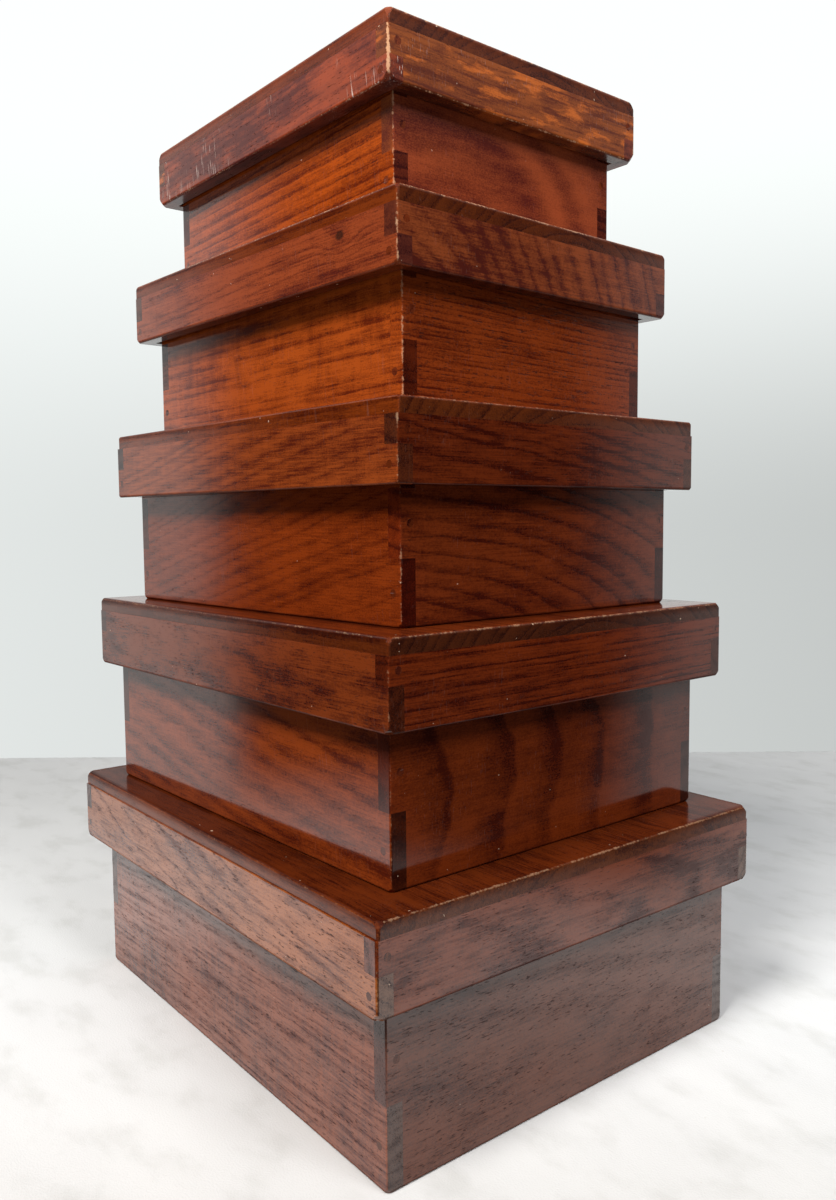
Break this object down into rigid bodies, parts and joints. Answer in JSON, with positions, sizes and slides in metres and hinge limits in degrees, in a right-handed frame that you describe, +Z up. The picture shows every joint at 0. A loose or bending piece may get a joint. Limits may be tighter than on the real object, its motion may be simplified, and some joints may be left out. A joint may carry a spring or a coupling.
{
  "type": "stack of lidded wooden boxes",
  "caption": "Graduated set of rectangular hardwood boxes with pegged finger-jointed corners and deep lift-off lids, stacked largest to smallest for storage.",
  "frame": {"origin": "bottom centre of the whole stack's box: on the surface the bottom box stands on, under the middle of the largest lid", "axes": "+Z up; X along the long sides of the boxes, Y along the short sides, the front at -Y"},
  "size_m": [0.375, 0.303, 0.5985],
  "materials": {
    "box_walls": "lacquered, worn gloss",
    "lid_sides": "lacquered, worn gloss",
    "top_boards": "lacquered, high gloss",
    "floor_boards": "lacquered, satin",
    "pegs": "lacquered end grain"
  },
  "bodies": {
    "box_1": {"box_1_front_wall": "box_walls", "box_1_back_wall": "box_walls", "box_1_left_wall": "box_walls", "box_1_right_wall": "box_walls", "box_1_floor_board": "floor_boards", "box_1_pegs": "pegs"},
    "lid_1": {"lid_1_front_side": "lid_sides", "lid_1_back_side": "lid_sides", "lid_1_left_side": "lid_sides", "lid_1_right_side": "lid_sides", "lid_1_top_board": "top_boards", "lid_1_pegs": "pegs"},
    "box_2": {"box_2_front_wall": "box_walls", "box_2_back_wall": "box_walls", "box_2_left_wall": "box_walls", "box_2_right_wall": "box_walls", "box_2_floor_board": "floor_boards", "box_2_pegs": "pegs"},
    "lid_2": {"lid_2_front_side": "lid_sides", "lid_2_back_side": "lid_sides", "lid_2_left_side": "lid_sides", "lid_2_right_side": "lid_sides", "lid_2_top_board": "top_boards", "lid_2_pegs": "pegs"},
    "box_3": {"box_3_front_wall": "box_walls", "box_3_back_wall": "box_walls", "box_3_left_wall": "box_walls", "box_3_right_wall": "box_walls", "box_3_floor_board": "floor_boards", "box_3_pegs": "pegs"},
    "lid_3": {"lid_3_front_side": "lid_sides", "lid_3_back_side": "lid_sides", "lid_3_left_side": "lid_sides", "lid_3_right_side": "lid_sides", "lid_3_top_board": "top_boards", "lid_3_pegs": "pegs"},
    "box_4": {"box_4_front_wall": "box_walls", "box_4_back_wall": "box_walls", "box_4_left_wall": "box_walls", "box_4_right_wall": "box_walls", "box_4_floor_board": "floor_boards", "box_4_pegs": "pegs"},
    "lid_4": {"lid_4_front_side": "lid_sides", "lid_4_back_side": "lid_sides", "lid_4_left_side": "lid_sides", "lid_4_right_side": "lid_sides", "lid_4_top_board": "top_boards", "lid_4_pegs": "pegs"},
    "box_5": {"box_5_front_wall": "box_walls", "box_5_back_wall": "box_walls", "box_5_left_wall": "box_walls", "box_5_right_wall": "box_walls", "box_5_floor_board": "floor_boards", "box_5_pegs": "pegs"},
    "lid_5": {"lid_5_front_side": "lid_sides", "lid_5_back_side": "lid_sides", "lid_5_left_side": "lid_sides", "lid_5_right_side": "lid_sides", "lid_5_top_board": "top_boards", "lid_5_pegs": "pegs"}
  },
  "joints": [
    {"name": "lid_1_lift", "type": "slide", "parent": "box_1", "child": "lid_1", "axis": [0, 0, 1], "range_m": [0, 0.12]},
    {"name": "box_2_lift", "type": "slide", "parent": "lid_1", "child": "box_2", "axis": [0, 0, 1], "range_m": [0, 0.06]},
    {"name": "lid_2_lift", "type": "slide", "parent": "box_2", "child": "lid_2", "axis": [0, 0, 1], "range_m": [0, 0.12]},
    {"name": "box_3_lift", "type": "slide", "parent": "lid_2", "child": "box_3", "axis": [0, 0, 1], "range_m": [0, 0.06]},
    {"name": "lid_3_lift", "type": "slide", "parent": "box_3", "child": "lid_3", "axis": [0, 0, 1], "range_m": [0, 0.12]},
    {"name": "box_4_lift", "type": "slide", "parent": "lid_3", "child": "box_4", "axis": [0, 0, 1], "range_m": [0, 0.06]},
    {"name": "lid_4_lift", "type": "slide", "parent": "box_4", "child": "lid_4", "axis": [0, 0, 1], "range_m": [0, 0.12]},
    {"name": "box_5_lift", "type": "slide", "parent": "lid_4", "child": "box_5", "axis": [0, 0, 1], "range_m": [0, 0.06]},
    {"name": "lid_5_lift", "type": "slide", "parent": "box_5", "child": "lid_5", "axis": [0, 0, 1], "range_m": [0, 0.12]}
  ]
}
